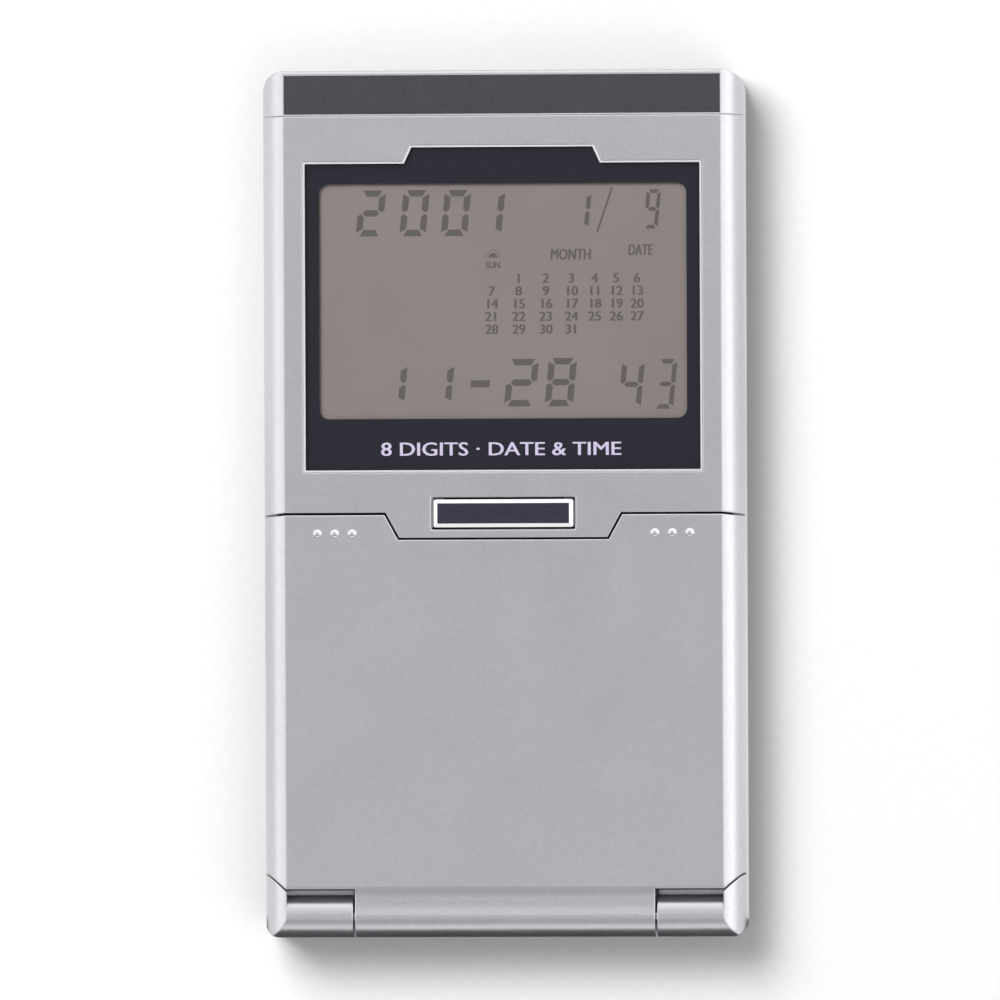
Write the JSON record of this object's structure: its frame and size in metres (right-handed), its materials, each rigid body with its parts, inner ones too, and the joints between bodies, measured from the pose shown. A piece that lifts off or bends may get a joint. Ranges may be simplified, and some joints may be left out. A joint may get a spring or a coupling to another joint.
{
  "type": "flip-cover calendar calculator",
  "caption": "Slim silver calendar calculator: display half with a black-framed LCD and solar strip, and a flip cover over its keypad, released by a chrome push button.",
  "frame": {"origin": "on the surface that it rests on, under the middle of its outline", "axes": "+Z out of the face, +Y towards the display end, +X to the right of the face"},
  "size_m": [0.064, 0.115, 0.0134],
  "materials": {
    "silver_paint": "satin metallic silver paint on moulded plastic",
    "clear_window": "clear polished acrylic, printed black round the view",
    "smoked_window": "smoked translucent acrylic",
    "lcd_glass": "grey-brown polarised liquid crystal glass",
    "reflector_film": "matt reflector film",
    "zebra_rubber": "striped silicone connector",
    "holder_plastic": "natural white moulding",
    "solar_glass": "amorphous silicon cell on glass",
    "board": "green solder mask on laminate",
    "epoxy": "black epoxy blob",
    "can_metal": "plated steel can",
    "ceramic_chip": "ceramic chip with tinned ends",
    "deck_plastic": "fine-grained dark grey moulding",
    "silicone": "translucent silicone",
    "key_plastic": "light grey key cap, printed legend",
    "accent_key": "dark key cap, printed legend",
    "chrome": "bright chrome plating on plastic",
    "spring_steel": "drawn spring wire",
    "pin_steel": "ground steel pin",
    "latch_plastic": "black acetal",
    "battery_steel": "nickel-plated cell can",
    "contact_metal": "plated contact strip",
    "screw_steel": "dark zinc plating",
    "foot_rubber": "black rubber",
    "lead_copper": "thin insulated wire"
  },
  "bodies": {
    "case": {"battery_side_contact": "contact_metal", "battery_top_contacts": "contact_metal", "button_cells": "battery_steel", "capacitors": "ceramic_chip", "case_screws": "screw_steel", "chip_blob": "epoxy", "circuit_board": "board", "clock_crystal": "can_metal", "display_case": "silver_paint", "display_window": "clear_window", "end_cap": "silver_paint", "hinge_pins": "pin_steel", "keypad_deck": "deck_plastic", "keypad_membrane": "silicone", "latch_spring": "spring_steel", "lcd_holder": "holder_plastic", "lcd_panel": "lcd_glass", "lcd_reflector": "reflector_film", "rear_case": "silver_paint", "rubber_feet": "foot_rubber", "solar_cell": "solar_glass", "solar_leads": "lead_copper", "solar_window": "smoked_window", "zebra_strip": "zebra_rubber"},
    "cover": {"flip_cover": "silver_paint", "cover_catch": "latch_plastic", "grip_studs": "chrome", "cover_spring": "spring_steel"},
    "release_button": {"release_button": "chrome"},
    "latch_slide": {"latch_slide": "latch_plastic"},
    "battery_door": {"battery_door": "silver_paint"},
    "key_add": {"key_add": "accent_key"},
    "key_all_clear": {"key_all_clear": "accent_key"},
    "key_clear": {"key_clear": "accent_key"},
    "key_divide": {"key_divide": "accent_key"},
    "key_eight": {"key_eight": "key_plastic"},
    "key_equals": {"key_equals": "accent_key"},
    "key_five": {"key_five": "key_plastic"},
    "key_four": {"key_four": "key_plastic"},
    "key_memory_add": {"key_memory_add": "key_plastic"},
    "key_memory_recall": {"key_memory_recall": "key_plastic"},
    "key_memory_subtract": {"key_memory_subtract": "key_plastic"},
    "key_mode": {"key_mode": "accent_key"},
    "key_multiply": {"key_multiply": "accent_key"},
    "key_nine": {"key_nine": "key_plastic"},
    "key_one": {"key_one": "key_plastic"},
    "key_percent": {"key_percent": "key_plastic"},
    "key_point": {"key_point": "key_plastic"},
    "key_seven": {"key_seven": "key_plastic"},
    "key_sign": {"key_sign": "key_plastic"},
    "key_six": {"key_six": "key_plastic"},
    "key_square_root": {"key_square_root": "key_plastic"},
    "key_subtract": {"key_subtract": "accent_key"},
    "key_three": {"key_three": "key_plastic"},
    "key_two": {"key_two": "key_plastic"},
    "key_zero": {"key_zero": "key_plastic"}
  },
  "joints": [
    {"name": "cover_hinge", "type": "hinge", "parent": "case", "child": "cover", "pos_m": [0, -0.0547, 0.0102], "axis": [1, 0, 0], "range_deg": [0, 170], "deforming": ["cover_spring"]},
    {"name": "release_press", "type": "slide", "parent": "case", "child": "release_button", "axis": [0, 0, -1], "range_m": [0, 0.001], "stiffness_N_per_m": 900, "springref_m": -0.0005},
    {"name": "latch_draw", "type": "slide", "parent": "case", "child": "latch_slide", "axis": [0, 1, 0], "range_m": [0, 0.001], "deforming": ["latch_spring"]},
    {"name": "battery_door_slide", "type": "slide", "parent": "case", "child": "battery_door", "axis": [0, 1, 0], "range_m": [0, 0.022]},
    {"name": "key_add_press", "type": "slide", "parent": "case", "child": "key_add", "axis": [0, 0, -1], "range_m": [0, 0.0008], "stiffness_N_per_m": 500, "springref_m": -0.0003, "deforming": ["keypad_membrane"]},
    {"name": "key_all_clear_press", "type": "slide", "parent": "case", "child": "key_all_clear", "axis": [0, 0, -1], "range_m": [0, 0.0008], "stiffness_N_per_m": 500, "springref_m": -0.0003, "deforming": ["keypad_membrane"]},
    {"name": "key_clear_press", "type": "slide", "parent": "case", "child": "key_clear", "axis": [0, 0, -1], "range_m": [0, 0.0008], "stiffness_N_per_m": 500, "springref_m": -0.0003, "deforming": ["keypad_membrane"]},
    {"name": "key_divide_press", "type": "slide", "parent": "case", "child": "key_divide", "axis": [0, 0, -1], "range_m": [0, 0.0008], "stiffness_N_per_m": 500, "springref_m": -0.0003, "deforming": ["keypad_membrane"]},
    {"name": "key_eight_press", "type": "slide", "parent": "case", "child": "key_eight", "axis": [0, 0, -1], "range_m": [0, 0.0008], "stiffness_N_per_m": 500, "springref_m": -0.0003, "deforming": ["keypad_membrane"]},
    {"name": "key_equals_press", "type": "slide", "parent": "case", "child": "key_equals", "axis": [0, 0, -1], "range_m": [0, 0.0008], "stiffness_N_per_m": 500, "springref_m": -0.0003, "deforming": ["keypad_membrane"]},
    {"name": "key_five_press", "type": "slide", "parent": "case", "child": "key_five", "axis": [0, 0, -1], "range_m": [0, 0.0008], "stiffness_N_per_m": 500, "springref_m": -0.0003, "deforming": ["keypad_membrane"]},
    {"name": "key_four_press", "type": "slide", "parent": "case", "child": "key_four", "axis": [0, 0, -1], "range_m": [0, 0.0008], "stiffness_N_per_m": 500, "springref_m": -0.0003, "deforming": ["keypad_membrane"]},
    {"name": "key_memory_add_press", "type": "slide", "parent": "case", "child": "key_memory_add", "axis": [0, 0, -1], "range_m": [0, 0.0008], "stiffness_N_per_m": 500, "springref_m": -0.0003, "deforming": ["keypad_membrane"]},
    {"name": "key_memory_recall_press", "type": "slide", "parent": "case", "child": "key_memory_recall", "axis": [0, 0, -1], "range_m": [0, 0.0008], "stiffness_N_per_m": 500, "springref_m": -0.0003, "deforming": ["keypad_membrane"]},
    {"name": "key_memory_subtract_press", "type": "slide", "parent": "case", "child": "key_memory_subtract", "axis": [0, 0, -1], "range_m": [0, 0.0008], "stiffness_N_per_m": 500, "springref_m": -0.0003, "deforming": ["keypad_membrane"]},
    {"name": "key_mode_press", "type": "slide", "parent": "case", "child": "key_mode", "axis": [0, 0, -1], "range_m": [0, 0.0008], "stiffness_N_per_m": 500, "springref_m": -0.0003, "deforming": ["keypad_membrane"]},
    {"name": "key_multiply_press", "type": "slide", "parent": "case", "child": "key_multiply", "axis": [0, 0, -1], "range_m": [0, 0.0008], "stiffness_N_per_m": 500, "springref_m": -0.0003, "deforming": ["keypad_membrane"]},
    {"name": "key_nine_press", "type": "slide", "parent": "case", "child": "key_nine", "axis": [0, 0, -1], "range_m": [0, 0.0008], "stiffness_N_per_m": 500, "springref_m": -0.0003, "deforming": ["keypad_membrane"]},
    {"name": "key_one_press", "type": "slide", "parent": "case", "child": "key_one", "axis": [0, 0, -1], "range_m": [0, 0.0008], "stiffness_N_per_m": 500, "springref_m": -0.0003, "deforming": ["keypad_membrane"]},
    {"name": "key_percent_press", "type": "slide", "parent": "case", "child": "key_percent", "axis": [0, 0, -1], "range_m": [0, 0.0008], "stiffness_N_per_m": 500, "springref_m": -0.0003, "deforming": ["keypad_membrane"]},
    {"name": "key_point_press", "type": "slide", "parent": "case", "child": "key_point", "axis": [0, 0, -1], "range_m": [0, 0.0008], "stiffness_N_per_m": 500, "springref_m": -0.0003, "deforming": ["keypad_membrane"]},
    {"name": "key_seven_press", "type": "slide", "parent": "case", "child": "key_seven", "axis": [0, 0, -1], "range_m": [0, 0.0008], "stiffness_N_per_m": 500, "springref_m": -0.0003, "deforming": ["keypad_membrane"]},
    {"name": "key_sign_press", "type": "slide", "parent": "case", "child": "key_sign", "axis": [0, 0, -1], "range_m": [0, 0.0008], "stiffness_N_per_m": 500, "springref_m": -0.0003, "deforming": ["keypad_membrane"]},
    {"name": "key_six_press", "type": "slide", "parent": "case", "child": "key_six", "axis": [0, 0, -1], "range_m": [0, 0.0008], "stiffness_N_per_m": 500, "springref_m": -0.0003, "deforming": ["keypad_membrane"]},
    {"name": "key_square_root_press", "type": "slide", "parent": "case", "child": "key_square_root", "axis": [0, 0, -1], "range_m": [0, 0.0008], "stiffness_N_per_m": 500, "springref_m": -0.0003, "deforming": ["keypad_membrane"]},
    {"name": "key_subtract_press", "type": "slide", "parent": "case", "child": "key_subtract", "axis": [0, 0, -1], "range_m": [0, 0.0008], "stiffness_N_per_m": 500, "springref_m": -0.0003, "deforming": ["keypad_membrane"]},
    {"name": "key_three_press", "type": "slide", "parent": "case", "child": "key_three", "axis": [0, 0, -1], "range_m": [0, 0.0008], "stiffness_N_per_m": 500, "springref_m": -0.0003, "deforming": ["keypad_membrane"]},
    {"name": "key_two_press", "type": "slide", "parent": "case", "child": "key_two", "axis": [0, 0, -1], "range_m": [0, 0.0008], "stiffness_N_per_m": 500, "springref_m": -0.0003, "deforming": ["keypad_membrane"]},
    {"name": "key_zero_press", "type": "slide", "parent": "case", "child": "key_zero", "axis": [0, 0, -1], "range_m": [0, 0.0008], "stiffness_N_per_m": 500, "springref_m": -0.0003, "deforming": ["keypad_membrane"]}
  ],
  "couplings": [
    {"joint": "latch_draw", "follows": "release_press", "ratio": 1}
  ]
}
